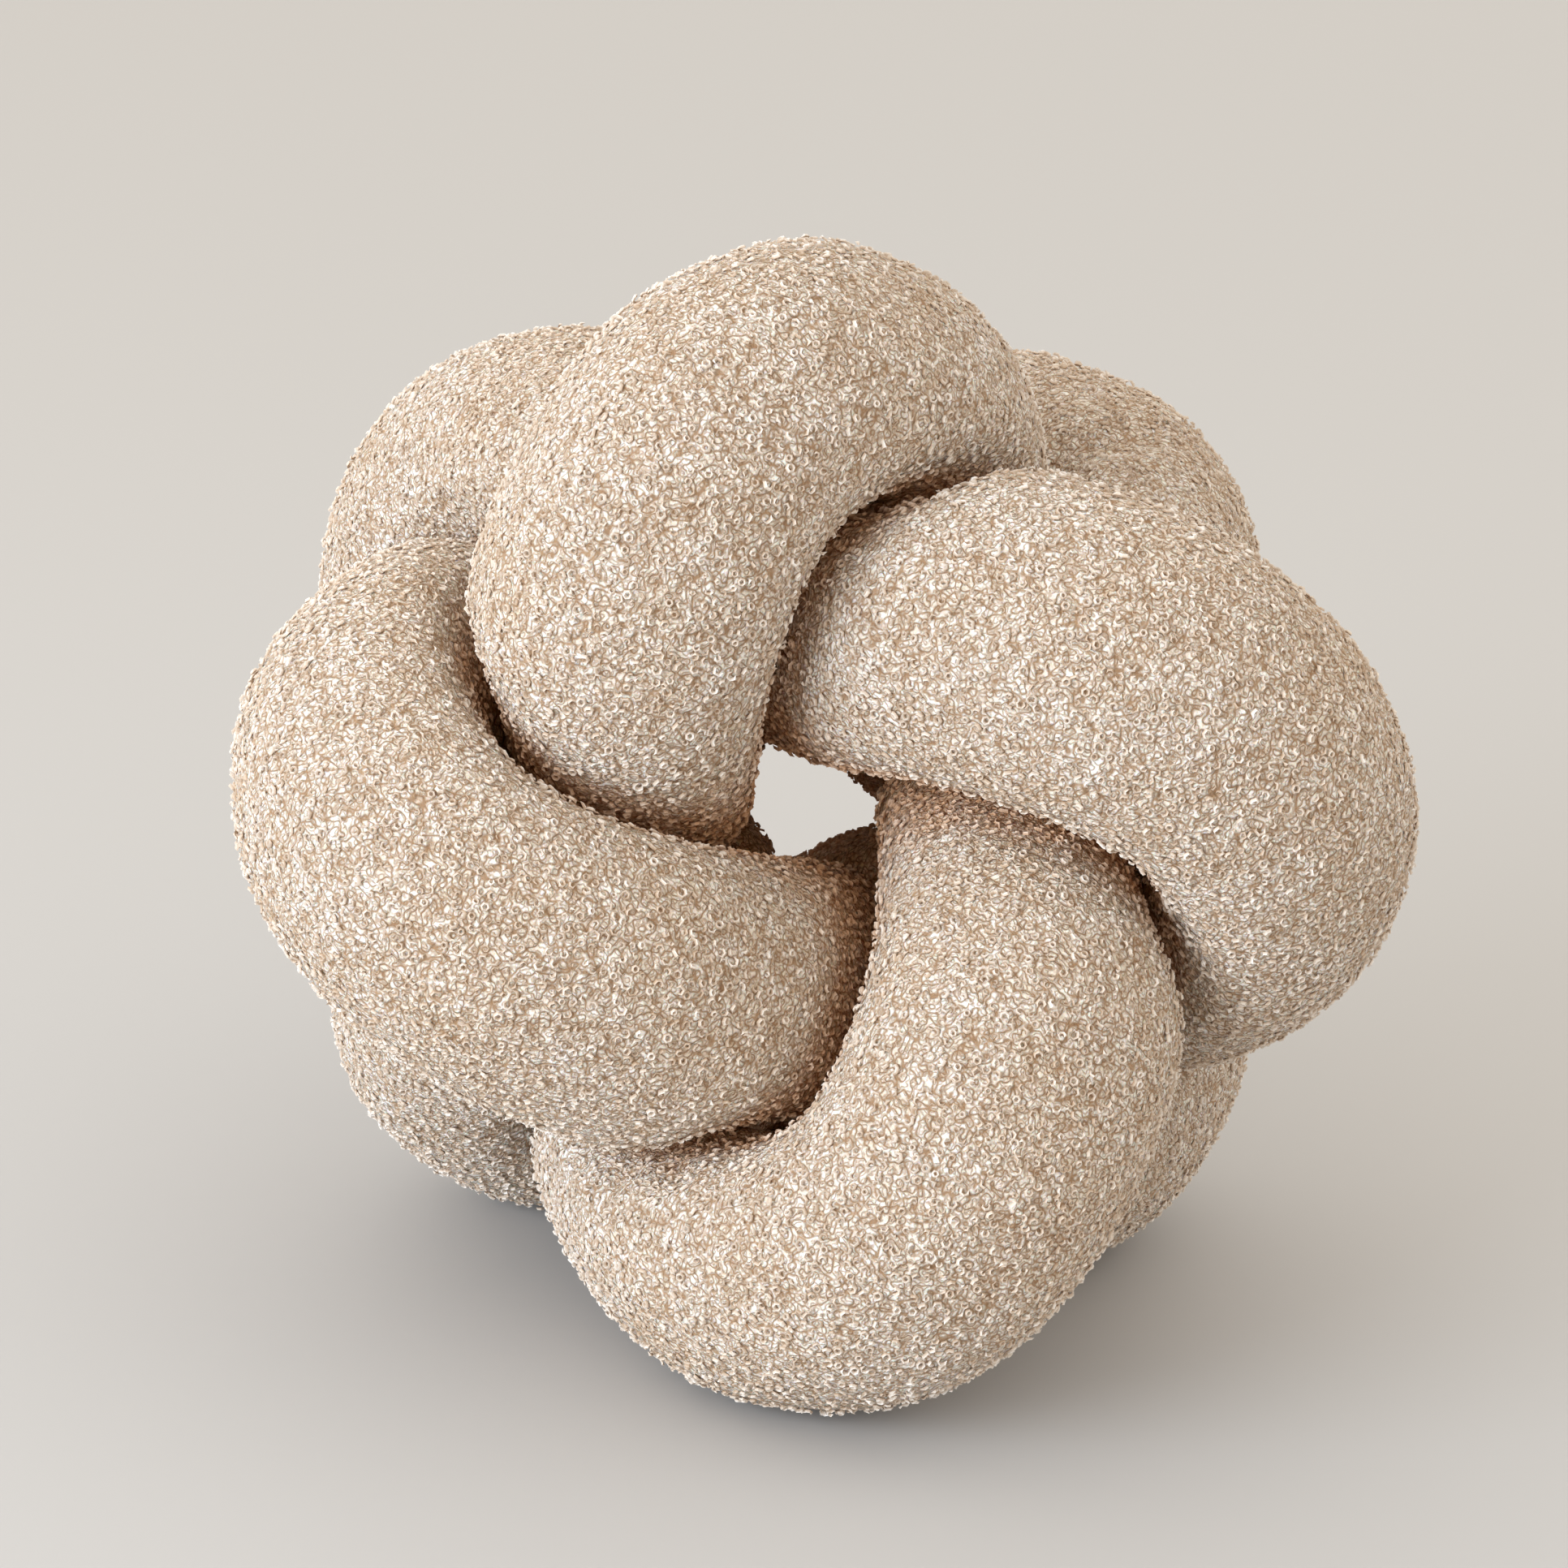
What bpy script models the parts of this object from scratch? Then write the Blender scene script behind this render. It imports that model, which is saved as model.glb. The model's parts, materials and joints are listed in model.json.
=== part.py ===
"""Knot cushion: one stuffed tube of curly pile fabric, closed on itself and laced into a ball.

Metres, +Z up. The cushion rests on z = 0 on three of its lobes, with its pinwheel of four front
lobes towards -Y. The origin is under the middle of its box.

The tube's middle line goes three times round the knot's axis. On the way it crosses from the front
to the back and again to the front four times, so that four lobes bend round the hole in front and
four behind. Where two stretches of the tube press on each other, both are flattened along the
plane midway between their middle lines.
"""

import math

import bmesh
import bpy
import numpy as np
from mathutils import Matrix

# Driving dimensions, in metres and degrees.
TUBE_DIAMETER = 0.084  # of the stuffed tube where nothing presses on it
PASS_GAP = 0.0012  # left between two stretches of the tube that press on each other
CORNER_SHARPNESS = 8.7  # how tight a flattened section turns at the ends of its flat
GIRTH_KEPT = 0.62  # how much of the girth lost to flattening bulges out elsewhere

# Waves of the middle line: how many times the wave repeats in the whole length, then its cosine
# and sine parts.
DISTANCE_WAVES = ((0, 0.0818, 0.0), (8, 0.0035, 0.0233), (16, -0.0011, 0.0008))
FORWARD_WAVES = ((4, 0.0722, 0.0), (12, 0.0035, 0.0011))
ROUND_WAVES = ((8, -12.1, -2.7), (16, 1.5, 2.0))
TURNS_ROUND_AXIS = 3

# No two lobes are alike. Each row is a lobe in its order along the tube, named as seen from the
# front. It says how far the middle line is moved, in millimetres away from the axis, onward round
# it and forward, and how full the tube is: at the lobe's bend by the hole, then at its outer end.
LOBES = (
    # lobe, (away, round, forward), fullness, (away, round, forward), fullness
    ("front right", (-2.5, 3.0, -1.0), 1.03, (4.2, 1.2, -1.0), 1.02),
    ("back low left", (-4.5, -1.6, 1.4), 0.96, (-0.4, -3.3, 0.3), 0.97),
    ("front top", (0.2, 5.1, -1.9), 0.97, (-5.2, 1.5, -1.8), 0.94),
    ("back low right", (6.0, -1.4, 1.4), 1.02, (0.6, -0.7, 1.8), 1.05),
    ("front left", (-7.0, -4.8, -2.3), 1.00, (2.6, -0.9, -2.6), 1.04),
    ("back high right", (-3.6, -1.3, -5.0), 0.97, (1.3, 0.2, 0.6), 0.97),
    ("front bottom", (2.4, 1.1, 2.2), 1.03, (-2.0, -4.4, -0.8), 1.01),
    ("back high left", (4.7, 4.0, 0.8), 0.98, (-1.2, 3.0, 2.7), 0.99),
)
MILLIMETRE = 0.001

# The knot's pose on the table, and how far its lowest lobes are pressed flat there.
KNOT_TURN = 36.1  # about its own axis
AXIS_RAISED = 13.8  # the front looks this far upwards
AXIS_ASIDE = 3.6  # and this far towards +X
PRESSED_FLAT = 0.004

# The mesh: rings along the tube and points in each ring.
RINGS = 208
SIDES = 28

# Bounds for the search for the plane midway to another stretch of the tube.
FAR_AWAY = 1.0
ALMOST_NONE = 1e-7

PILE_COLOUR = (0.78, 0.67, 0.54, 1.0)
PILE_ROUGHNESS = 0.95

COLLECTION_NAME = "knot_cushion"
NODE_NAME = "knot_tube"


def clear_scene():
    """Removes everything that the scene starts with."""
    for thing in list(bpy.data.objects):
        bpy.data.objects.remove(thing)


def wave_sum(waves, turn):
    """The sum of the waves at each turn angle."""
    return sum(c * np.cos(n * turn) + s * np.sin(n * turn) for n, c, s in waves)


def lobe_blend(turn):
    """Moves (away, round, forward) in metres, and fullness, blended smoothly from row to row."""
    rows = []
    for _lobe, bend_move, bend_fullness, end_move, end_fullness in LOBES:
        rows.append((*bend_move, bend_fullness))
        rows.append((*end_move, end_fullness))
    step = 2 * math.pi / len(rows)
    ahead = turn[:, None] - np.arange(len(rows)) * step
    ahead = (ahead + math.pi) % (2 * math.pi) - math.pi
    share = np.where(abs(ahead) < step, np.cos(math.pi / 2 * ahead / step) ** 2, 0.0)
    blended = share @ np.array(rows)
    return blended[:, :3] * MILLIMETRE, blended[:, 3]


def middle_line(turn, moves):
    """The tube's middle at each turn angle, in the knot's own frame: +Z is its axis to the front."""
    away, onward, forward = moves.T
    distance = wave_sum(DISTANCE_WAVES, turn) + away
    angle = np.radians(wave_sum(ROUND_WAVES, turn)) - TURNS_ROUND_AXIS * turn
    angle += onward / np.maximum(distance, TUBE_DIAMETER / 2)
    height = wave_sum(FORWARD_WAVES, turn) + forward
    return np.stack([distance * np.cos(angle), distance * np.sin(angle), height], axis=1)


def side_directions(middle):
    """Unit directions across the tube, SIDES of them for each point of its middle line."""
    along = np.roll(middle, -1, axis=0) - np.roll(middle, 1, axis=0)
    along /= np.linalg.norm(along, axis=1, keepdims=True)
    outward = middle - (middle * along).sum(axis=1, keepdims=True) * along
    outward /= np.linalg.norm(outward, axis=1, keepdims=True)
    across = np.cross(along, outward)
    angle = np.arange(SIDES) * 2 * math.pi / SIDES
    return (
        np.cos(angle)[None, :, None] * outward[:, None]
        + np.sin(angle)[None, :, None] * across[:, None]
    )


def room_to_midway(middle, sides):
    """How far the tube reaches to each side before it would be nearer to another stretch of it."""
    to_others = middle[None] - middle[:, None]
    towards = np.matmul(sides, to_others.transpose(0, 2, 1))
    squared = np.broadcast_to((to_others**2).sum(axis=2)[:, None], towards.shape)
    room = np.full_like(towards, FAR_AWAY)
    np.divide(squared, 2 * towards, out=room, where=towards > ALMOST_NONE)
    return room.min(axis=2) - PASS_GAP / 2


def soft_least(radius, room):
    """The lesser of the two, rounded over where they are nearly the same."""
    power = -CORNER_SHARPNESS
    return (radius[:, None] ** power + room**power) ** (1 / power)


def girth(reach):
    """Length round each section."""
    after = np.roll(reach, -1, axis=1)
    step = 2 * math.pi / SIDES
    return np.sqrt(reach**2 + after**2 - 2 * reach * after * math.cos(step)).sum(axis=1)


def tube_rings():
    """The tube's skin as rings of points, an array of RINGS by SIDES by 3."""
    turn = np.arange(RINGS) * 2 * math.pi / RINGS
    moves, fullness = lobe_blend(turn)
    middle = middle_line(turn, moves)
    sides = side_directions(middle)
    room = room_to_midway(middle, sides)
    radius = fullness * TUBE_DIAMETER / 2
    round_girth = 2 * math.pi * radius
    bulged = radius * (round_girth / girth(soft_least(radius, room))) ** GIRTH_KEPT
    return middle[:, None] + soft_least(bulged, room)[:, :, None] * sides


def resting_pose():
    """Turns the knot's axis from +Z to the front, raised and aside as it rests."""
    return (
        Matrix.Rotation(math.radians(AXIS_ASIDE), 3, "Z")
        @ Matrix.Rotation(math.radians(90 - AXIS_RAISED), 3, "X")
        @ Matrix.Rotation(math.radians(KNOT_TURN), 3, "Z")
    )


def set_down(rings):
    """The rings in their resting pose, with the lowest lobes pressed flat on z = 0."""
    placed = rings @ np.array(resting_pose()).T
    low = placed.min(axis=(0, 1))
    high = placed.max(axis=(0, 1))
    placed -= [(low[0] + high[0]) / 2, (low[1] + high[1]) / 2, low[2] + PRESSED_FLAT]
    placed[:, :, 2] = np.maximum(placed[:, :, 2], 0.0)
    return placed


def loft(rings, name):
    """A closed skin through the rings, the last one joined to the first."""
    shape = bmesh.new()
    points = [[shape.verts.new(point) for point in ring] for ring in rings]
    for ring, after in zip(points, points[1:] + points[:1]):
        for near, beside in zip(range(SIDES), [*range(1, SIDES), 0]):
            shape.faces.new((ring[near], ring[beside], after[beside], after[near]))
    bmesh.ops.recalc_face_normals(shape, faces=shape.faces)
    mesh = bpy.data.meshes.new(name)
    shape.to_mesh(mesh)
    shape.free()
    mesh.shade_smooth()
    return mesh


def pile_material():
    """Cream curly pile, matt all over."""
    material = bpy.data.materials.new("cream_pile")
    material.use_nodes = True
    shader = material.node_tree.nodes["Principled BSDF"]
    shader.inputs["Base Color"].default_value = PILE_COLOUR
    shader.inputs["Roughness"].default_value = PILE_ROUGHNESS
    shader.inputs["Metallic"].default_value = 0.0
    material.diffuse_color = PILE_COLOUR
    return material


def build():
    """The one piece of the cushion, in a collection of its own."""
    clear_scene()
    collection = bpy.data.collections.new(COLLECTION_NAME)
    bpy.context.scene.collection.children.link(collection)
    mesh = loft(set_down(tube_rings()), NODE_NAME)
    mesh.materials.append(pile_material())
    collection.objects.link(bpy.data.objects.new(NODE_NAME, mesh))


build()
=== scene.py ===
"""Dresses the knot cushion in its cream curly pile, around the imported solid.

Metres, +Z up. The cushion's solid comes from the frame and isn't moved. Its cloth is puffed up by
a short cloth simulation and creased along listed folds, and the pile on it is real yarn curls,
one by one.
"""

import json
import math

import bmesh
import bpy
import numpy as np
from mathutils import Matrix, Vector
from mathutils.bvhtree import BVHTree

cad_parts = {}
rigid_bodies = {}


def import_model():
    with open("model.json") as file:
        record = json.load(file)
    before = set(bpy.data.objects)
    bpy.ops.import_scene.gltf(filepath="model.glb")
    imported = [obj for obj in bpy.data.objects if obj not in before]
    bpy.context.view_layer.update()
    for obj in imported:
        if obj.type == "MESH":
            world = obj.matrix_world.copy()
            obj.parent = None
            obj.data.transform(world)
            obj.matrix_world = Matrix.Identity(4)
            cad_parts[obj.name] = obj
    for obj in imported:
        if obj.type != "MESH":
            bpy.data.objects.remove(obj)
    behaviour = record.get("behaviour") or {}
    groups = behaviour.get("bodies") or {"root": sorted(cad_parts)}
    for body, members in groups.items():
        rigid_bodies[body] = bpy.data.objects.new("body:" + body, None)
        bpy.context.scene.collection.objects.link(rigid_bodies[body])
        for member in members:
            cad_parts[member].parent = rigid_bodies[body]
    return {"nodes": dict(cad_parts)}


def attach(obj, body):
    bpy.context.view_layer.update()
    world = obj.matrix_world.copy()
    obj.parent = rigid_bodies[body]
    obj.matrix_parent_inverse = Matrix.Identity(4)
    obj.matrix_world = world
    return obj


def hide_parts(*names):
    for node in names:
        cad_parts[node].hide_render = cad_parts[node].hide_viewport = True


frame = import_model()

bl_info = {
    "name": "Knot cushion in curly pile",
    "version": (1, 0, 0),
    "blender": (4, 5, 0),
    "location": "3D View > Sidebar > Knot cushion",
    "description": "Puffs, creases and covers a knot cushion with cream yarn curls",
    "category": "Object",
}

NODE = "knot_tube"
BODY = "root"
MILLIMETRE = 0.001


# Small helpers ----------------------------------------------------------------------------------


def select_only(*things):
    """Makes these the only selected objects, and the first of them the active one."""
    for thing in list(bpy.context.selected_objects):
        thing.select_set(False)
    for thing in things:
        thing.select_set(True)
    bpy.context.view_layer.objects.active = things[0] if things else None


def apply_modifier(piece, modifier):
    """Applies one modifier of a piece."""
    select_only(piece)
    bpy.ops.object.modifier_apply(modifier=modifier.name)


def points_of(mesh):
    """The places of a mesh's points, as an array of rows."""
    places = np.empty(len(mesh.vertices) * 3)
    mesh.vertices.foreach_get("co", places)
    return places.reshape(-1, 3)


def normals_of(mesh):
    """The normals at a mesh's points, as an array of rows."""
    normals = np.empty(len(mesh.vertices) * 3)
    mesh.vertex_normals.foreach_get("vector", normals)
    return normals.reshape(-1, 3)


def place_points(mesh, places):
    """Moves a mesh's points to these places."""
    mesh.vertices.foreach_set("co", places.ravel())
    mesh.update()


def write_attribute(mesh, name, values):
    """Keeps one number for each point of a mesh."""
    layer = mesh.attributes.new(name, "FLOAT", "POINT")
    layer.data.foreach_set("value", np.asarray(values, np.float32))


def read_attribute(mesh, name):
    """Reads one number for each point of a mesh."""
    values = np.empty(len(mesh.vertices), np.float32)
    mesh.attributes[name].data.foreach_get("value", values)
    return values


def rise(values, low, high):
    """0 below low and 1 above high, with a smooth rise in between."""
    share = np.clip((values - low) / (high - low), 0, 1)
    return share * share * (3 - 2 * share)


# The cloth of the tube --------------------------------------------------------------------------

WELD = 0.00001  # points that are this near are joined
GRID_PREFERENCE = 1.5  # how strongly triangles are joined back into the tube's own grid


def welded_copy(name, node):
    """A copy of a node's skin, its loose triangles welded and joined into four-sided faces."""
    select_only()
    mesh = frame["nodes"][node].data.copy()
    mesh.name = name
    mesh.materials.clear()
    piece = bpy.data.objects.new(name, mesh)
    bpy.context.scene.collection.objects.link(piece)
    select_only(piece)
    bpy.ops.mesh.customdata_custom_splitnormals_clear()
    bpy.ops.object.mode_set(mode="EDIT")
    bpy.ops.mesh.select_all(action="SELECT")
    bpy.ops.mesh.remove_doubles(threshold=WELD)
    bpy.ops.mesh.tris_convert_to_quads(
        face_threshold=math.pi, shape_threshold=math.pi, topology_influence=GRID_PREFERENCE
    )
    bpy.ops.mesh.normals_make_consistent(inside=False)
    bpy.ops.object.mode_set(mode="OBJECT")
    bpy.ops.object.shade_smooth()
    return piece


def subdivide(piece, levels):
    """Rounds a piece by Subdivision Surface, applied."""
    modifier = piece.modifiers.new("rounding", "SUBSURF")
    modifier.levels = levels
    modifier.render_levels = levels
    apply_modifier(piece, modifier)


SKY_RAYS = 24  # cast from each point to find how much of the outside it sees
RAY_START = 0.0005  # above the skin
RAY_LENGTH = 0.6  # further than across the whole cushion


def sky_directions():
    """Unit directions spread evenly over the half sphere round +Z."""
    turn = np.arange(SKY_RAYS) * math.pi * (3 - math.sqrt(5))
    height = (np.arange(SKY_RAYS) + 0.5) / SKY_RAYS
    across = np.sqrt(1 - height**2)
    return np.stack([across * np.cos(turn), across * np.sin(turn), height], axis=1)


def look_around(mesh):
    """For each point: the room ahead along its normal, and the share of sky that it sees."""
    tree = BVHTree.FromPolygons(
        [v.co for v in mesh.vertices], [p.vertices[:] for p in mesh.polygons]
    )
    directions = [Vector(d) for d in sky_directions()]
    room = np.empty(len(mesh.vertices))
    sky = np.empty(len(mesh.vertices))
    for index, normal in enumerate(mesh.vertex_normals):
        normal = normal.vector
        start = mesh.vertices[index].co + normal * RAY_START
        met = tree.ray_cast(start, normal, RAY_LENGTH)[3]
        room[index] = RAY_LENGTH if met is None else met
        turn = normal.to_track_quat("Z", "Y")
        free = sum(tree.ray_cast(start, turn @ d, RAY_LENGTH)[3] is None for d in directions)
        sky[index] = free / SKY_RAYS
    return room, sky


# Folds that show in the cloth. Each row is a fold's name, the places that it runs through, its
# depth at its start and its width, in millimetres. A fold fades out towards its end.
FOLDS = (
    (
        "across the high right lobe",
        ((52, 33, 219), (66, 39, 226), (79, 46, 228), (92, 52, 225)),
        3.6,
        6.5,
    ),
    ("on the front low lobe", ((-46, -85, 60), (-53, -85, 56)), 3.0, 4.5),
    ("where the low lobe dives", ((-33, -96, 65), (-39, -92, 63)), 2.5, 4.5),
    ("where the left lobe dives", ((-100, 10, 201), (-112, 23, 199)), 2.5, 5.5),
)
FOLD_LIP = 0.35  # how high the cloth stands up beside a fold, as a share of its depth
LIP_PLACE = 1.9  # how far from the fold's middle it does so, in the fold's widths
SAME_SIDE = 0.2  # least agreement of normals on one side of the cloth


def along_route(places, route):
    """How far each place is from a route, and how far along the route it is, from 0 to 1."""
    route = np.array(route) * MILLIMETRE
    legs = route[1:] - route[:-1]
    lengths = np.linalg.norm(legs, axis=1)
    before = np.concatenate([[0.0], np.cumsum(lengths)[:-1]])
    from_start = places[:, None] - route[None, :-1]
    share = np.clip((from_start * legs).sum(axis=2) / lengths**2, 0, 1)
    away = np.linalg.norm(from_start - share[:, :, None] * legs, axis=2)
    leg = away.argmin(axis=1)
    rows = np.arange(len(places))
    return away[rows, leg], (before[leg] + share[rows, leg] * lengths[leg]) / lengths.sum()


def folds(places, normals):
    """How far the folds lower or raise each place along its normal."""
    raised = np.zeros(len(places))
    for _name, route, depth, width in FOLDS:
        away, along = along_route(places, route)
        facing = normals[away.argmin()]
        same_side = normals @ facing > SAME_SIDE
        strength = depth * MILLIMETRE * (1 - along**2) * same_side
        spread = away / (width * MILLIMETRE)
        raised -= strength * np.exp(-(spread**2))
        raised += FOLD_LIP * strength * np.exp(-((spread - LIP_PLACE) ** 2))
    return raised


UNEVEN_WAVES = 24
UNEVEN_LENGTHS = (0.028, 0.070)  # shortest and longest wave, in metres
UNEVEN_SEED = 5


def unevenness(places):
    """Soft lumps of the stuffing at each place, seldom beyond 1 or -1."""
    chance = np.random.default_rng(UNEVEN_SEED)
    ways = chance.normal(size=(UNEVEN_WAVES, 3))
    ways /= np.linalg.norm(ways, axis=1, keepdims=True)
    lengths = chance.uniform(*UNEVEN_LENGTHS, UNEVEN_WAVES)
    starts = chance.uniform(0, 2 * math.pi, UNEVEN_WAVES)
    waves = np.sin(2 * math.pi * places @ (ways / lengths[:, None]).T + starts)
    return waves.sum(axis=1) / math.sqrt(2 * UNEVEN_WAVES)


def pressed_outwards(piece, settings):
    """How far a short simulation of the stuffed cloth moves each point along its normal."""
    start = points_of(piece.data)
    normals = normals_of(piece.data)
    modifier = piece.modifiers.new("stuffing", "CLOTH")
    modifier.settings.use_pressure = True
    modifier.settings.uniform_pressure_force = settings.pressure
    modifier.settings.effector_weights.gravity = 0.0
    modifier.point_cache.frame_end = settings.frames
    for moment in range(1, settings.frames + 1):
        bpy.context.scene.frame_set(moment)
    apply_modifier(piece, modifier)
    moved = points_of(piece.data) - start
    place_points(piece.data, start)
    moved -= moved.mean(axis=0)
    return (moved * normals).sum(axis=1)


class TubeClothSettings(bpy.types.PropertyGroup):
    """Sizes of the stuffed cloth."""

    rounding: bpy.props.IntProperty(
        name="Rounding", description="Subdivision levels of the tube's cloth", default=1
    )
    slimmer: bpy.props.FloatProperty(
        name="Slimmer",
        description="How far inside the solid the cloth starts, to leave room for the pile",
        default=0.0022,
        unit="LENGTH",
    )
    pressure: bpy.props.FloatProperty(
        name="Pressure", description="Of the stuffing on the cloth", default=8.0
    )
    frames: bpy.props.IntProperty(
        name="Frames", description="Length of the simulation", default=20
    )
    usual: bpy.props.FloatProperty(
        name="Usual",
        description="How far the stuffing presses the cloth out as a rule",
        default=0.0010,
        unit="LENGTH",
    )
    most: bpy.props.FloatProperty(
        name="Most",
        description="The furthest that the stuffing presses the cloth out",
        default=0.0026,
        unit="LENGTH",
    )
    lumps: bpy.props.FloatProperty(
        name="Lumps", description="Height of the stuffing's lumps", default=0.0007, unit="LENGTH"
    )


PRESSED_ROOM = (0.002, 0.018)  # where the room ahead is less, the cloth is held by its neighbour
LEAST_HEIGHT = 0.0003  # above the surface that the cushion rests on


class KNOTCUSHION_OT_tube_cloth(bpy.types.Operator):
    """Makes the tube's cloth from the cushion's solid and stuffs it"""

    bl_idname = "knot_cushion.tube_cloth"
    bl_label = "Tube cloth"

    def execute(self, context):
        settings = context.scene.knot_tube_cloth
        cloth = welded_copy("tube_cloth", NODE)
        subdivide(cloth, settings.rounding)
        room = look_around(cloth.data)[0]
        free = rise(room, *PRESSED_ROOM)
        solid = points_of(cloth.data)
        normals = normals_of(cloth.data)
        place_points(cloth.data, solid - normals * settings.slimmer)
        pressed = pressed_outwards(cloth, settings)
        outwards = np.clip(pressed + settings.usual, 0.0, settings.most) * free
        outwards += settings.lumps * unevenness(solid) * free
        outwards += folds(solid, normals)
        places = solid + normals * (outwards - settings.slimmer)[:, None]
        places[:, 2] = np.maximum(places[:, 2], LEAST_HEIGHT)
        place_points(cloth.data, places)
        room, sky = look_around(cloth.data)
        write_attribute(cloth.data, "room_ahead", room)
        write_attribute(cloth.data, "sky_share", sky)
        cloth.data.materials.append(ground_material())
        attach(cloth, BODY)
        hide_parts(NODE)
        return {"FINISHED"}


# Yarn curls -------------------------------------------------------------------------------------

YARN_SIDES = 3  # few, so that there can be more curls
CURL_KINDS = (
    # name, sweep in degrees, steps, width and lift as shares of the settings' curl width
    ("ring", 360, 6, 0.95, 0.0),
    ("hook", 310, 5, 1.10, 0.3),
    ("low_hook", 290, 5, 1.00, -0.3),
    ("wide_hook", 270, 4, 1.20, 0.4),
    ("tight_hook", 300, 4, 0.75, 0.3),
    ("long_comma", 200, 3, 1.25, 0.5),
    ("comma", 130, 2, 1.00, 0.4),
)


class CurlyPileSettings(bpy.types.PropertyGroup):
    """Sizes of the pile's curls."""

    curl_width: bpy.props.FloatProperty(
        name="Curl width",
        description="From one side of a curl's middle line to the other",
        default=0.00175,
        unit="LENGTH",
    )
    yarn: bpy.props.FloatProperty(
        name="Yarn", description="Thickness of the yarn", default=0.0009, unit="LENGTH"
    )
    spacing: bpy.props.FloatProperty(
        name="Spacing",
        description="Least distance from curl to curl",
        default=0.00240,
        unit="LENGTH",
    )
    density: bpy.props.FloatProperty(
        name="Density", description="Most curls in a square metre", default=3000000.0
    )
    tilt: bpy.props.FloatProperty(
        name="Tilt",
        description="How far a curl may lean over",
        default=math.radians(26),
        subtype="ANGLE",
    )
    seed: bpy.props.IntProperty(name="Seed", description="Of the random places", default=7)


ALL_ROUND = math.radians(359)  # a curl that sweeps further than this is a closed ring


def pinch_ends(shape, width, yarn, sweep):
    """Draws each end of an open curl together in one point."""
    for end in (0.0, sweep):
        middle = Vector((math.cos(end), math.sin(end), 0)) * width / 2
        near = [v for v in shape.verts if (v.co - middle).length < yarn / 2 + WELD]
        bmesh.ops.pointmerge(shape, verts=near, merge_co=middle)


def curl(name, width, yarn, sweep, steps, lift):
    """One curl of yarn as a mesh object: an arc with pinched ends, or a closed ring.

    It lies round the origin, and its far end stands lift higher than its near end.
    """
    select_only()
    bpy.ops.mesh.primitive_circle_add(
        vertices=YARN_SIDES,
        radius=yarn / 2,
        location=(width / 2, 0, 0),
        rotation=(math.pi / 2, 0, 0),
    )
    made = bpy.context.active_object
    made.name = name
    bpy.ops.object.transform_apply(location=True, rotation=True, scale=True)
    bpy.ops.object.mode_set(mode="EDIT")
    bpy.ops.mesh.select_all(action="SELECT")
    # A positive angle would turn clockwise seen from +Z, so the sweep is negated.
    bpy.ops.mesh.spin(steps=steps, angle=-sweep, center=(0, 0, 0), axis=(0, 0, 1))
    bpy.ops.object.mode_set(mode="OBJECT")
    shape = bmesh.new()
    shape.from_mesh(made.data)
    if sweep > ALL_ROUND:
        bmesh.ops.remove_doubles(shape, verts=shape.verts, dist=WELD)
    else:
        pinch_ends(shape, width, yarn, sweep)
    underside = shape.verts.layers.float.new("underside")
    for vertex in shape.verts:
        vertex[underside] = float(vertex.co.z < 0)
    if sweep <= ALL_ROUND:
        for vertex in shape.verts:
            turned = math.atan2(vertex.co.y, vertex.co.x) % (2 * math.pi)
            vertex.co.z += lift * (turned / sweep - 0.5)
    bmesh.ops.recalc_face_normals(shape, faces=shape.faces)
    shape.to_mesh(made.data)
    shape.free()
    # Smooth shading would darken three-sided yarn along its edges.
    made.data.shade_flat()
    return made


class KNOTCUSHION_OT_curly_pile(bpy.types.Operator):
    """Covers the tube's cloth in curls of yarn"""

    bl_idname = "knot_cushion.curly_pile"
    bl_label = "Curly pile"

    def execute(self, context):
        settings = context.scene.knot_curly_pile
        cloth = bpy.data.objects["tube_cloth"]
        kinds = make_curls(settings)
        scatter = scatter_group()
        material = curl_material()
        for name, faces in zip(PATCH_NAMES, patches(cloth.data)):
            cover(cloth, name, faces, kinds, scatter, material, settings)
        for kind in list(kinds.objects):
            bpy.data.objects.remove(kind)
        bpy.data.collections.remove(kinds)
        return {"FINISHED"}


def make_curls(settings):
    """One curl of each kind, in a collection of their own."""
    kinds = bpy.data.collections.new("curl_kinds")
    bpy.context.scene.collection.children.link(kinds)
    for name, sweep, steps, width, lift in CURL_KINDS:
        made = curl(
            name,
            settings.curl_width * width,
            settings.yarn,
            math.radians(sweep),
            steps,
            settings.curl_width * lift,
        )
        for home in list(made.users_collection):
            home.objects.unlink(made)
        kinds.objects.link(made)
    return kinds


PATCH_NAMES = (
    "pile_front_right",
    "pile_front_top",
    "pile_front_left",
    "pile_front_low",
    "pile_back_right",
    "pile_back_top",
    "pile_back_left",
    "pile_back_low",
)


def patches(mesh):
    """The cloth's faces in eight patches: four quarters seen from the front, front and back."""
    centres = np.array([p.center[:] for p in mesh.polygons])
    middle = (centres.max(axis=0) + centres.min(axis=0)) / 2
    x, y, z = (centres - middle).T
    quarter = np.floor((np.arctan2(z, x) / (math.pi / 2) + 0.5) % 4).astype(int)
    back = (y > 0).astype(int)
    return [np.flatnonzero(quarter + 4 * back == place) for place in range(len(PATCH_NAMES))]


CURL_ROOM = (0.0012, 0.0032)  # less room than this ahead of the cloth leaves no place for curls
FLOOR_ROOM = (0.0024, 0.0036)  # the same for the height above the floor
LEAST_SKY = 1.5 / SKY_RAYS  # curls stand only where two or more of the rays get out

# How far a curl is moved out of the cloth at least and at most, and the height at which its yarn
# is wholly out of the shade of the others, all in thicknesses of the yarn.
LOWEST = -0.4
HIGHEST = 1.1
TOP = 1.3


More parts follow.
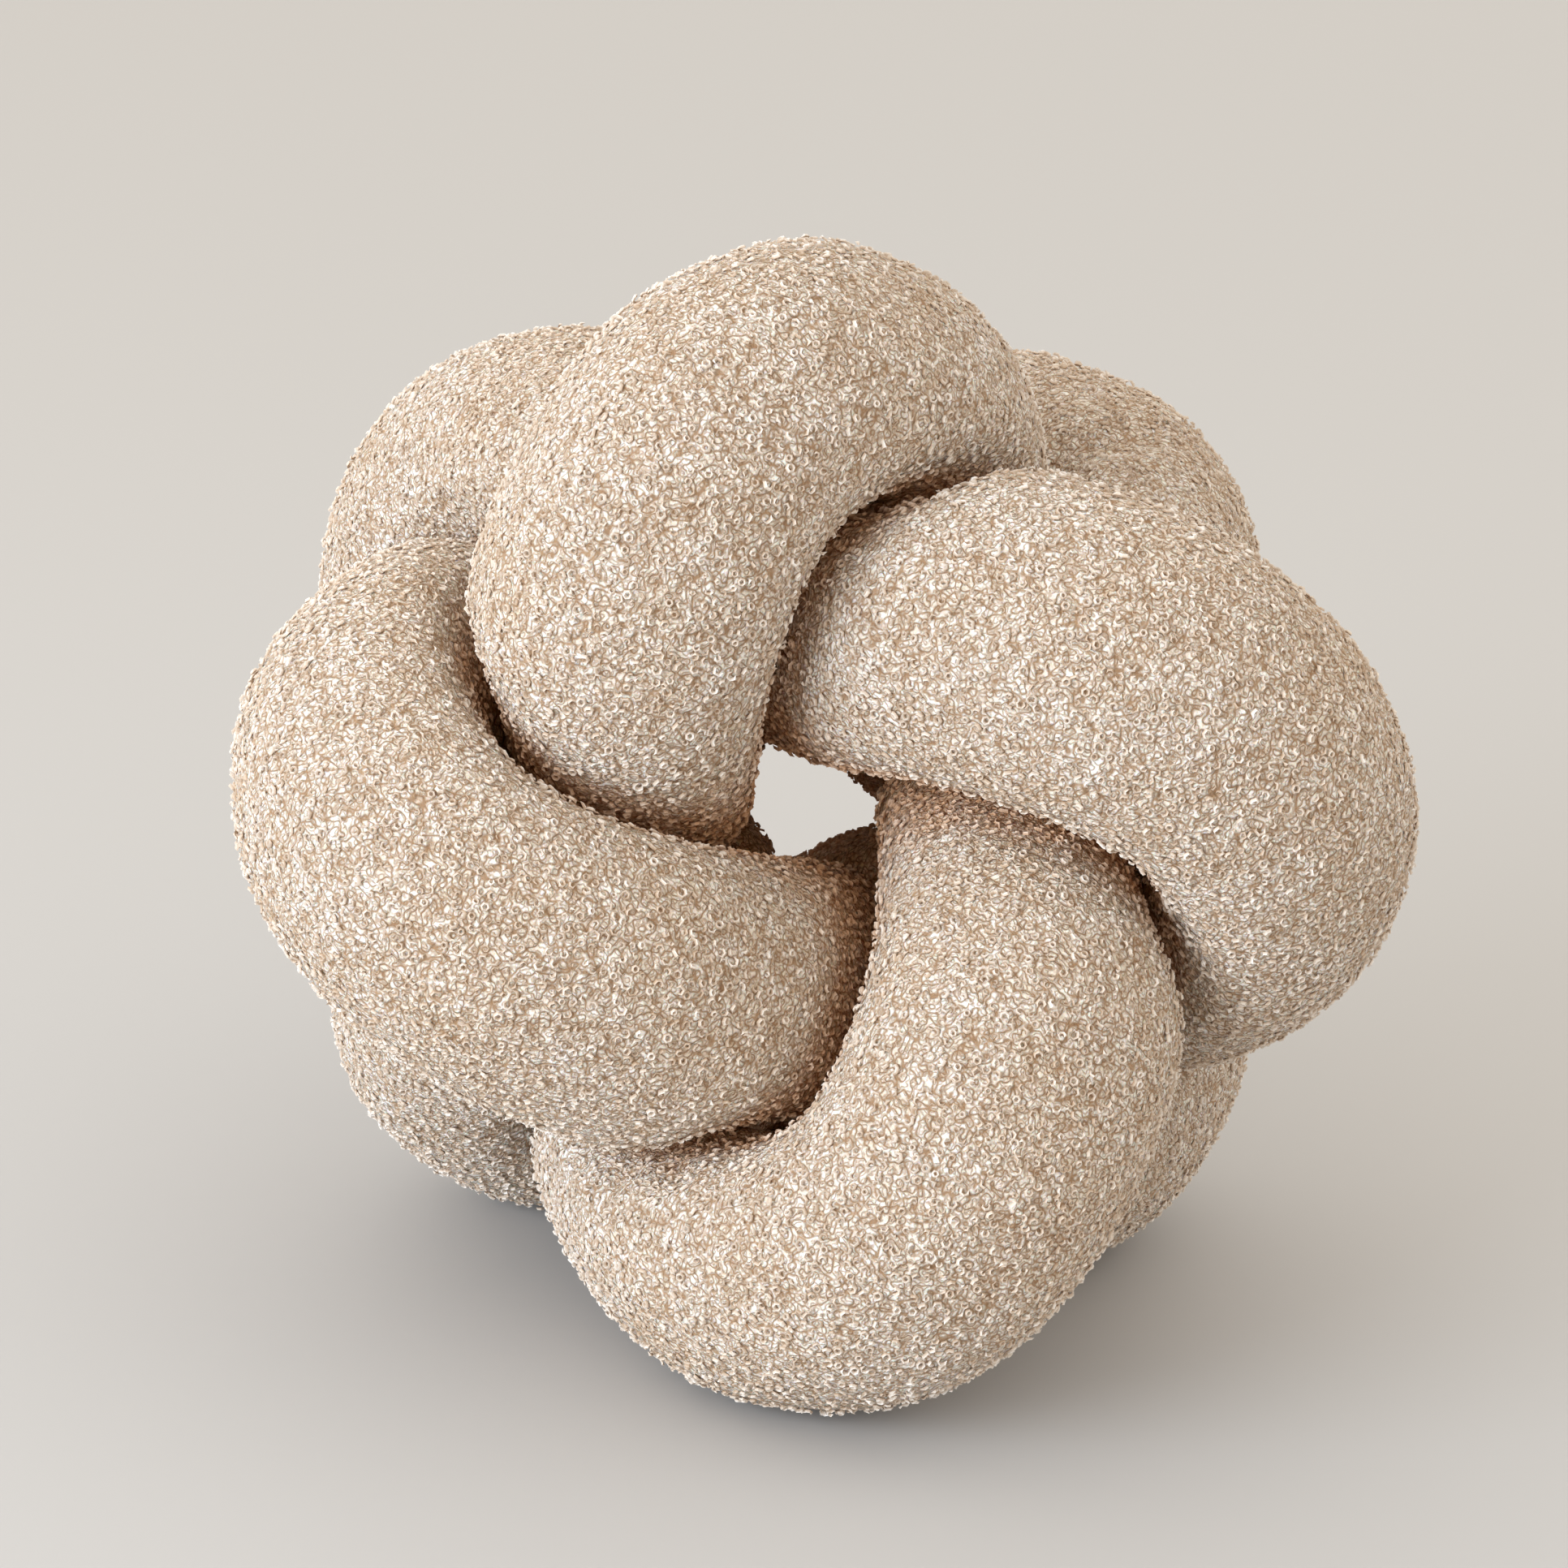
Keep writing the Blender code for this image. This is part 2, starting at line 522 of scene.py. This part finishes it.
def cover(cloth, name, faces, kinds, scatter, material, settings):
    """Covers some of the cloth's faces in curls, as a piece of its own."""
    piece = cloth.copy()
    piece.data = cloth.data.copy()
    piece.name = name
    piece.data.name = name
    # What the frame has noted on the cloth doesn't hold for this piece.
    for key in list(piece.keys()):
        del piece[key]
    piece.parent = None
    bpy.context.scene.collection.objects.link(piece)
    room = read_attribute(piece.data, "room_ahead")
    sky = read_attribute(piece.data, "sky_share")
    height = points_of(piece.data)[:, 2]
    share = rise(room, *CURL_ROOM) * rise(height, *FLOOR_ROOM) * (sky > LEAST_SKY)
    write_attribute(piece.data, "curl_share", share)
    shape = bmesh.new()
    shape.from_mesh(piece.data)
    wanted = set(faces.tolist())
    others = [face for face in shape.faces if face.index not in wanted]
    bmesh.ops.delete(shape, geom=others, context="FACES")
    shape.to_mesh(piece.data)
    shape.free()
    modifier = piece.modifiers.new("pile", "NODES")
    modifier.node_group = scatter
    values = {
        "Curl kinds": kinds,
        "Spacing": settings.spacing,
        "Density": settings.density,
        "Tilt": settings.tilt,
        "Seed": settings.seed,
        "Lowest": settings.yarn * LOWEST,
        "Highest": settings.yarn * HIGHEST,
        "Top": settings.yarn * TOP,
    }
    for socket in scatter.interface.items_tree:
        if socket.name in values:
            modifier[socket.identifier] = values[socket.name]
    apply_modifier(piece, modifier)
    piece.data.materials.clear()
    piece.data.materials.append(material)
    for layer in ("room_ahead", "curl_share"):
        if layer in piece.data.attributes:
            piece.data.attributes.remove(piece.data.attributes[layer])
    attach(piece, BODY)


# Node trees -------------------------------------------------------------------------------------


class Tree:
    """Adds nodes to a node tree, one after another, and links them.

    Sockets are given by their names, or by their numbers where several have the same name.
    """

    def __init__(self, tree):
        self.tree = tree
        self.column = 0

    def add(self, kind, inputs=None, **settings):
        """A node of this kind, with its settings, and with its inputs set or linked."""
        node = self.tree.nodes.new(kind)
        node.location = (self.column * 200, 0)
        self.column += 1
        for name, value in settings.items():
            setattr(node, name, value)
        for name, value in (inputs or {}).items():
            socket = node.inputs[name]
            if isinstance(value, bpy.types.NodeSocket):
                self.tree.links.new(value, socket)
            else:
                socket.default_value = value
        return node


def reckon(tree, operation, first, second=0.0):
    """One step of arithmetic."""
    return tree.add("ShaderNodeMath", {0: first, 1: second}, operation=operation).outputs[0]


def rising(tree, value, low, high, how="LINEAR"):
    """0 where the value is low or less, 1 where it is high or more, rising in between."""
    node = tree.add(
        "ShaderNodeMapRange",
        {"Value": value, "From Min": low, "From Max": high},
        interpolation_type=how,
    )
    return node.outputs[0]


def clouds(tree, where, scale, detail=2.0):
    """A cloudy random pattern, with this many clouds in a metre."""
    node = tree.add("ShaderNodeTexNoise", {"Vector": where, "Scale": scale, "Detail": detail})
    return node.outputs[0]


CLUMP_SCALE = 300.0  # clumps in a metre
CLUMP_RANGE = (0.36, 0.60)  # of the cloudy pattern: where the pile lies flat, and where it stands
CLUMP_SHARE = 0.65  # how much the clumps, and not chance, decide how high a curl stands


def clump_height(tree, where):
    """Where the pile stands up in clumps, 1, and where it lies flat between them, 0."""
    return rising(tree, clouds(tree, where, CLUMP_SCALE, 1.0), *CLUMP_RANGE)


# The pile's Geometry Nodes ----------------------------------------------------------------------

CURL_SIZES = (0.8, 1.2)  # the smallest and the largest that a curl of one kind comes out


def random_number(tree, low, high, seed):
    """Another number from low to high for each point or curl."""
    node = tree.add("FunctionNodeRandomValue", {2: low, 3: high, "Seed": seed}, data_type="FLOAT")
    return node.outputs[1]


def keep(tree, geometry, name, value, kind="FLOAT", domain="POINT"):
    """The geometry, with a value kept under this name for each of its places."""
    node = tree.add(
        "GeometryNodeStoreNamedAttribute",
        {"Geometry": geometry, "Name": name, "Value": value},
        data_type=kind,
        domain=domain,
    )
    return node.outputs[0]


def kept(tree, name, kind="FLOAT"):
    """The value that was kept under this name."""
    return tree.add("GeometryNodeInputNamedAttribute", {"Name": name}, data_type=kind).outputs[0]


def leaning(tree, upright, tilt):
    """The turn of each curl: upright, then at random about itself and a little over."""
    back = reckon(tree, "MULTIPLY", tilt, -1.0)
    least = tree.add("ShaderNodeCombineXYZ", {0: back, 1: back, 2: 0.0})
    most = tree.add("ShaderNodeCombineXYZ", {0: tilt, 1: tilt, 2: 2 * math.pi})
    lean = tree.add(
        "FunctionNodeRandomValue",
        {0: least.outputs[0], 1: most.outputs[0], "Seed": 1},
        data_type="FLOAT_VECTOR",
    )
    turn = tree.add("FunctionNodeEulerToRotation", {0: lean.outputs[0]})
    turned = tree.add(
        "FunctionNodeRotateRotation",
        {"Rotation": upright, "Rotate By": turn.outputs[0]},
        rotation_space="LOCAL",
    )
    return turned.outputs[0]


def move_outwards(tree, outward, lowest, highest):
    """How each curl is moved: far out in the clumps, and little or inwards between them."""
    at = tree.add("GeometryNodeInputPosition").outputs[0]
    chance = random_number(tree, 0.0, 1.0, 4)
    rank = tree.add("ShaderNodeMix", {0: CLUMP_SHARE, 2: chance, 3: clump_height(tree, at)})
    far = tree.add(
        "ShaderNodeMapRange", {"Value": rank.outputs[0], "To Min": lowest, "To Max": highest}
    )
    move = tree.add(
        "ShaderNodeVectorMath", {0: outward, "Scale": far.outputs[0]}, operation="SCALE"
    )
    return move.outputs[0]


def share_of_top(tree, outward, top):
    """How high each point of a curl is above the cloth at its foot, as a share of the top."""
    at = tree.add("GeometryNodeInputPosition").outputs[0]
    foot = kept(tree, "foot", "FLOAT_VECTOR")
    above = tree.add("ShaderNodeVectorMath", {0: at, 1: foot}, operation="SUBTRACT")
    height = tree.add(
        "ShaderNodeVectorMath", {0: above.outputs[0], 1: outward}, operation="DOT_PRODUCT"
    )
    return rising(tree, height.outputs["Value"], 0.0, top)


def scatter_group():
    """A Geometry Nodes group that stands curls all over a mesh and makes them real.

    The places are drawn with the settings' seed. Each other random draw has its own, from 1 to 5.
    """
    group = bpy.data.node_groups.new("Curls all over", "GeometryNodeTree")
    face = group.interface
    face.new_socket("Geometry", in_out="INPUT", socket_type="NodeSocketGeometry")
    face.new_socket("Curl kinds", in_out="INPUT", socket_type="NodeSocketCollection")
    for name in ("Spacing", "Density", "Tilt", "Lowest", "Highest", "Top"):
        face.new_socket(name, in_out="INPUT", socket_type="NodeSocketFloat")
    face.new_socket("Seed", in_out="INPUT", socket_type="NodeSocketInt")
    face.new_socket("Geometry", in_out="OUTPUT", socket_type="NodeSocketGeometry")
    tree = Tree(group)
    given = tree.add("NodeGroupInput").outputs
    spread = tree.add(
        "GeometryNodeDistributePointsOnFaces",
        {
            "Mesh": given["Geometry"],
            "Distance Min": given["Spacing"],
            "Density Max": given["Density"],
            "Density Factor": kept(tree, "curl_share"),
            "Seed": given["Seed"],
        },
        distribute_method="POISSON",
    ).outputs
    points = keep(tree, spread["Points"], "outward", spread["Normal"], "FLOAT_VECTOR")
    at = tree.add("GeometryNodeInputPosition").outputs[0]
    points = keep(tree, points, "foot", at, "FLOAT_VECTOR")
    kinds = tree.add(
        "GeometryNodeCollectionInfo",
        {"Collection": given["Curl kinds"], "Separate Children": True, "Reset Children": True},
    )
    which = tree.add(
        "FunctionNodeRandomValue", {4: 0, 5: len(CURL_KINDS) - 1, "Seed": 2}, data_type="INT"
    )
    stood = tree.add(
        "GeometryNodeInstanceOnPoints",
        {
            "Points": points,
            "Instance": kinds.outputs[0],
            "Pick Instance": True,
            "Instance Index": which.outputs[2],
            "Rotation": leaning(tree, spread["Rotation"], given["Tilt"]),
            "Scale": random_number(tree, *CURL_SIZES, 3),
        },
    )
    outward = kept(tree, "outward", "FLOAT_VECTOR")
    move = move_outwards(tree, outward, given["Lowest"], given["Highest"])
    moved = tree.add(
        "GeometryNodeTranslateInstances",
        {"Instances": stood.outputs[0], "Translation": move, "Local Space": False},
    )
    tone = random_number(tree, 0.0, 1.0, 5)
    toned = keep(tree, moved.outputs[0], "yarn_tone", tone, domain="INSTANCE")
    real = tree.add("GeometryNodeRealizeInstances", {"Geometry": toned})
    height = share_of_top(tree, outward, given["Top"])
    finished = keep(tree, real.outputs[0], "curl_height", height)
    for name in ("outward", "foot"):
        finished = tree.add(
            "GeometryNodeRemoveAttribute", {"Geometry": finished, "Name": name}
        ).outputs[0]
    tree.add("NodeGroupOutput", {"Geometry": finished})
    return group


# Materials --------------------------------------------------------------------------------------

PALE_YARN = (0.96, 0.957, 0.955, 1)
CREAM_YARN = (0.94, 0.915, 0.885, 1)
CREAM_TONE = 0.35  # where cream lies between tan, 0, and pale, 1
TAN_YARN = (0.87, 0.815, 0.755, 1)
# Painted shade: the yarn at a curl's foot, darker and browner where the other curls shade it.
SHADED_YARN_FOOT = (0.68, 0.55, 0.43, 1)
YARN_SIDE = (0.75, 0.65, 0.56, 1)  # how much of the light gets down between two turns of yarn
LOW_SHADE = (0.95, 0.93, 0.905, 1)  # how much of the light reaches the curls that lie low
# Painted shade in the hollows between the clumps of the pile.
PAINTED_HOLLOW_SHADE = (0.85, 0.80, 0.75, 1)  # between the clumps of the pile
# Painted shade, warm and dark, deep in the creases.
CREASE_PAINTED_SHADE = (0.98, 0.66, 0.42, 1)  # deep in the creases
CREASE_SKY = (0.06, 0.46)  # the shares of sky seen there, and where a crease begins
# Painted shade deep in the grooves between turns of the low yarn.
GROOVE_PAINTED_SHADE = (0.42, 0.29, 0.19, 1)
WHITE = (1, 1, 1, 1)

MOTTLE = ((22.0, 0.96), (110.0, 0.92))  # patches in a metre, and how dark the darker ones are
MOTTLE_RANGE = (0.35, 0.65)  # of the cloudy pattern: where they are darkest, and where they end
MOTTLE_WARMTH = (1.0, 0.965, 0.92)  # the darker patches are also warmer

# Two layers of winding yarn: turns in a metre, how far the layer is moved, and how low its
# grooves reach. The grooves' half width is in values of the cloudy pattern.
WINDINGS = ((540.0, 0.0, 0.0), (740.0, 0.3, 0.3))
GROOVE_HALF_WIDTH = 0.15
DRIFT_SCALE = 300.0  # changes of tone in a metre, in the curls that lie low
DRIFT_RANGE = (0.2, 0.7)  # of the cloudy pattern: where their yarn is tan, and where it is pale
CLUMP_RELIEF = 2.0  # how high the clumps stand out in their relief, next to one turn of yarn

# Fibres in a metre, and the height of the relief, on curls that stand up and that lie low.
FIBRES = 4200.0
RELIEF = 0.00015
LOW_FIBRES = 1900.0
LOW_RELIEF = 0.0004


def new_material(name):
    """A material with a Principled shader, its tree helper and that shader."""
    material = bpy.data.materials.new(name)
    material.use_nodes = True
    return material, Tree(material.node_tree), material.node_tree.nodes["Principled BSDF"]


def shader_group(name, inputs, outputs):
    """A new shader node group with these sockets, its tree helper and its input sockets."""
    group = bpy.data.node_groups.new(name, "ShaderNodeTree")
    for socket, kind in inputs.items():
        group.interface.new_socket(socket, in_out="INPUT", socket_type="NodeSocket" + kind)
    for socket, kind in outputs.items():
        group.interface.new_socket(socket, in_out="OUTPUT", socket_type="NodeSocket" + kind)
    tree = Tree(group)
    return group, tree, tree.add("NodeGroupInput").outputs


def blend(tree, kind, share, below, above):
    """A colour mix of this kind."""
    node = tree.add(
        "ShaderNodeMix", {0: share, 6: below, 7: above}, data_type="RGBA", blend_type=kind
    )
    return node.outputs[2]


def tinted(tree, colour, share, tint):
    """The colour, multiplied by a tint where the share is 0 and left as it is where it is 1."""
    return blend(tree, "MULTIPLY", 1.0, colour, blend(tree, "MIX", share, tint, WHITE))


def mottle_and_hollow_shade_group():
    """Soft patches where the pile leans another way and looks darker, and painted shade in the
    hollows.
    """
    group, tree, given = shader_group(
        "Pile mottle and hollow shade", {"Vector": "Vector", "Colour": "Color"}, {"Colour": "Color"}
    )
    colour = given["Colour"]
    for scale, dark in MOTTLE:
        share = rising(tree, clouds(tree, given["Vector"], scale), *MOTTLE_RANGE)
        darker = (*(dark * part for part in MOTTLE_WARMTH), 1)
        colour = tinted(tree, colour, share, darker)
    # Painted shade where the pile lies flat between the clumps.
    colour = tinted(tree, colour, clump_height(tree, given["Vector"]), PAINTED_HOLLOW_SHADE)
    tree.add("NodeGroupOutput", {"Colour": colour})
    return group


def crease_group():
    """Painted shade: warms and darkens the yarn deep in the creases, where little of the sky is
    seen.
    """
    group, tree, given = shader_group(
        "Crease shade", {"Colour": "Color", "Sky": "Float"}, {"Colour": "Color"}
    )
    share = rising(tree, given["Sky"], *CREASE_SKY, "SMOOTHSTEP")
    tree.add("NodeGroupOutput", {"Colour": tinted(tree, given["Colour"], share, CREASE_PAINTED_SHADE)})
    return group


def finish_colour(tree, where, colour):
    """The colour with the pile's mottle, painted shade in its hollows and painted shade in the
    creases.
    """
    mottled_with_hollow_shade = use_group(tree, "Pile mottle and hollow shade", mottle_and_hollow_shade_group, {"Vector": where, "Colour": colour})
    sky = tree.add("ShaderNodeAttribute", attribute_name="sky_share").outputs["Fac"]
    shaded = use_group(
        tree, "Crease shade", crease_group, {"Colour": mottled_with_hollow_shade.outputs[0], "Sky": sky}
    )
    return shaded.outputs[0]


def yarn_tones(tree, tone):
    """Colours of yarn, from tan to pale, for a tone from 0 to 1."""
    ramp = tree.add("ShaderNodeValToRGB", {0: tone})
    stops = ramp.color_ramp.elements
    stops[0].color = TAN_YARN
    stops[1].color = PALE_YARN
    stops.new(CREAM_TONE).color = CREAM_YARN
    return ramp.outputs[0]


def strands_group():
    """Yarn that winds about at random, side by side: its height, 0 in the grooves between turns.

    A groove runs wherever a cloudy pattern passes through its middle value.
    """
    group, tree, given = shader_group(
        "Winding yarn",
        {"Vector": "Vector", "Scale": "Float", "Half width": "Float"},
        {"Height": "Float"},
    )
    wander = clouds(tree, given["Vector"], given["Scale"], 0.0)
    away = reckon(tree, "ABSOLUTE", reckon(tree, "SUBTRACT", wander, 0.5))
    height = rising(tree, away, 0.0, given["Half width"], "SMOOTHSTEP")
    tree.add("NodeGroupOutput", {"Height": height})
    return group


def use_group(tree, name, make, inputs):
    """A node of a shared shader group, which is made when it is first asked for."""
    group = bpy.data.node_groups.get(name) or make()
    return tree.add("ShaderNodeGroup", inputs, node_tree=group)


def curl_material():
    """Cream yarn, each curl with its own tone, with painted shade at its foot and on its
    undersides.
    """
    material, tree, shader = new_material("cream_yarn_curls")
    links = material.node_tree.links
    where = tree.add("ShaderNodeTexCoord").outputs["Object"]
    tone = tree.add("ShaderNodeAttribute", attribute_name="yarn_tone").outputs["Fac"]
    height = tree.add("ShaderNodeAttribute", attribute_name="curl_height").outputs["Fac"]
    # Painted shade: each curl's yarn darkens towards its foot.
    colour = blend(tree, "MIX", height, SHADED_YARN_FOOT, yarn_tones(tree, tone))
    side = tree.add("ShaderNodeAttribute", attribute_name="underside").outputs["Fac"]
    shade = blend(tree, "MIX", side, WHITE, YARN_SIDE)
    colour = blend(tree, "MULTIPLY", 1.0, colour, shade)
    links.new(finish_colour(tree, where, colour), shader.inputs["Base Color"])
    fibre = clouds(tree, where, FIBRES, 1.0)
    bump = tree.add("ShaderNodeBump", {"Height": fibre, "Distance": RELIEF})
    links.new(bump.outputs[0], shader.inputs["Normal"])
    shader.inputs["Roughness"].default_value = 0.9
    shader.inputs["Specular IOR Level"].default_value = 0.15
    shader.inputs["Sheen Weight"].default_value = 0.15
    shader.inputs["Sheen Roughness"].default_value = 0.5
    return material


def ground_material():
    """The fabric between the curls that stand up: more curls, lying lower, with painted shade in
    the gaps.
    """
    material, tree, shader = new_material("curls_lying_low")
    links = material.node_tree.links
    where = tree.add("ShaderNodeTexCoord").outputs["Object"]
    height = 1.0
    for scale, moved, least in WINDINGS:
        place = tree.add("ShaderNodeVectorMath", {0: where, 1: (moved, moved, 0)}).outputs[0]
        strands = use_group(
            tree,
            "Winding yarn",
            strands_group,
            {"Vector": place, "Scale": scale, "Half width": GROOVE_HALF_WIDTH},
        )
        layer = tree.add(
            "ShaderNodeMapRange", {"Value": strands.outputs["Height"], "To Min": least}
        )
        height = reckon(tree, "MINIMUM", layer.outputs[0], height)
    tone = rising(tree, clouds(tree, where, DRIFT_SCALE), *DRIFT_RANGE)
    # Painted shade: the colour darkens to brown in the grooves.
    colour = blend(tree, "MIX", height, GROOVE_PAINTED_SHADE, yarn_tones(tree, tone))
    colour = blend(tree, "MULTIPLY", 1.0, colour, LOW_SHADE)
    links.new(finish_colour(tree, where, colour), shader.inputs["Base Color"])
    clumps = reckon(tree, "MULTIPLY", clump_height(tree, where), CLUMP_RELIEF)
    relief = reckon(tree, "ADD", height, clumps)
    relief = reckon(tree, "ADD", relief, clouds(tree, where, LOW_FIBRES, 1.0))
    bump = tree.add("ShaderNodeBump", {"Height": relief, "Distance": LOW_RELIEF})
    links.new(bump.outputs[0], shader.inputs["Normal"])
    shader.inputs["Subsurface Weight"].default_value = 0.6
    shader.inputs["Subsurface Radius"].default_value = (1.0, 0.6, 0.35)
    shader.inputs["Subsurface Scale"].default_value = 0.0007
    shader.inputs["Roughness"].default_value = 0.95
    shader.inputs["Specular IOR Level"].default_value = 0.2
    return material


# Stage ------------------------------------------------------------------------------------------

FLOOR_WIDTH = 16
# The key light stands for a window to the left in front.
KEY_PLACE = (-1.62, -1.48, 0.5)
KEY_WIDTH = 1.5
KEY_COLOUR = (0.77, 0.88, 1.0)
ROOM_COLOUR = (1.0, 0.95, 0.87, 1)

SENSOR = 36.0  # millimetres
LENS = 116.7  # millimetres
CAMERA_RAISED = math.radians(17.95)
CAMERA_ROLLED = math.radians(3.75)
CAMERA_DISTANCE = 1.3452
CAMERA_AIM = (-0.0103, 0.0001, 0.1373)


class StageSettings(bpy.types.PropertyGroup):
    """Floor and light."""

    floor_colour: bpy.props.FloatVectorProperty(
        name="Floor",
        description="Colour of the floor",
        subtype="COLOR",
        size=4,
        default=(0.52, 0.51, 0.505, 1.0),
    )
    key: bpy.props.FloatProperty(
        name="Key light", description="Power of the window's light", default=62.0, unit="POWER"
    )
    ambient: bpy.props.FloatProperty(
        name="Ambient", description="Strength of the room's own light", default=1.17
    )


def soft_light(name, place, size, power, colour):
    """A large square light that faces the cushion."""
    lamp = bpy.data.lights.new(name, "AREA")
    lamp.shape = "SQUARE"
    lamp.size = size
    lamp.energy = power
    lamp.color = colour
    light = bpy.data.objects.new(name, lamp)
    light.location = place
    aim = Vector(CAMERA_AIM) - Vector(place)
    light.rotation_euler = aim.to_track_quat("-Z", "Y").to_euler()
    bpy.context.scene.collection.objects.link(light)


class KNOTCUSHION_OT_stage(bpy.types.Operator):
    """Makes the floor, the light and the camera"""

    bl_idname = "knot_cushion.stage"
    bl_label = "Stage"

    def execute(self, context):
        settings = context.scene.knot_stage
        select_only()
        bpy.ops.mesh.primitive_plane_add(size=FLOOR_WIDTH)
        floor = context.active_object
        floor.name = "floor"
        material, _tree, shader = new_material("pale_floor")
        shader.inputs["Base Color"].default_value = settings.floor_colour
        shader.inputs["Roughness"].default_value = 0.7
        shader.inputs["Specular IOR Level"].default_value = 0.3
        floor.data.materials.append(material)
        soft_light("key", KEY_PLACE, KEY_WIDTH, settings.key, KEY_COLOUR)
        context.scene.view_settings.view_transform = "Standard"
        world = bpy.data.worlds.new("room")
        world.use_nodes = True
        background = world.node_tree.nodes["Background"]
        background.inputs["Color"].default_value = ROOM_COLOUR
        background.inputs["Strength"].default_value = settings.ambient
        context.scene.world = world
        lens = bpy.data.cameras.new("camera")
        lens.sensor_width = SENSOR
        lens.lens = LENS
        camera = bpy.data.objects.new("camera", lens)
        turn = Matrix.Rotation(math.pi / 2 - CAMERA_RAISED, 4, "X")
        turn = turn @ Matrix.Rotation(CAMERA_ROLLED, 4, "Z")
        back = turn.to_3x3() @ Vector((0, 0, CAMERA_DISTANCE))
        camera.matrix_world = Matrix.Translation(Vector(CAMERA_AIM) + back) @ turn
        context.scene.collection.objects.link(camera)
        context.scene.camera = camera
        return {"FINISHED"}


# Panel and registration -------------------------------------------------------------------------


class KNOTCUSHION_PT_panel(bpy.types.Panel):
    """Lists the cushion's steps"""

    bl_idname = "KNOTCUSHION_PT_panel"
    bl_label = "Knot cushion"
    bl_space_type = "VIEW_3D"
    bl_region_type = "UI"
    bl_category = "Knot cushion"

    def draw(self, context):
        for operator, settings in STEPS:
            box = self.layout.box()
            group = getattr(context.scene, settings)
            for name in group.bl_rna.properties.keys():
                if name not in ("rna_type", "name"):
                    box.prop(group, name)
            box.operator(operator.bl_idname)


GROUPS = {
    "knot_tube_cloth": TubeClothSettings,
    "knot_curly_pile": CurlyPileSettings,
    "knot_stage": StageSettings,
}
STEPS = (
    (KNOTCUSHION_OT_tube_cloth, "knot_tube_cloth"),
    (KNOTCUSHION_OT_curly_pile, "knot_curly_pile"),
    (KNOTCUSHION_OT_stage, "knot_stage"),
)


def register():
    """Registers the settings, the steps and the panel."""
    for name, group in GROUPS.items():
        bpy.utils.register_class(group)
        setattr(bpy.types.Scene, name, bpy.props.PointerProperty(type=group))
    for operator, _settings in STEPS:
        bpy.utils.register_class(operator)
    bpy.utils.register_class(KNOTCUSHION_PT_panel)


def unregister():
    """Takes all of that back."""
    bpy.utils.unregister_class(KNOTCUSHION_PT_panel)
    for operator, _settings in reversed(STEPS):
        bpy.utils.unregister_class(operator)
    for name, group in GROUPS.items():
        delattr(bpy.types.Scene, name)
        bpy.utils.unregister_class(group)


def main():
    """Makes the whole scene."""
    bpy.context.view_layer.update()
    register()
    bpy.ops.knot_cushion.tube_cloth()
    bpy.ops.knot_cushion.curly_pile()
    bpy.ops.knot_cushion.stage()


if __name__ == "__main__":
    main()
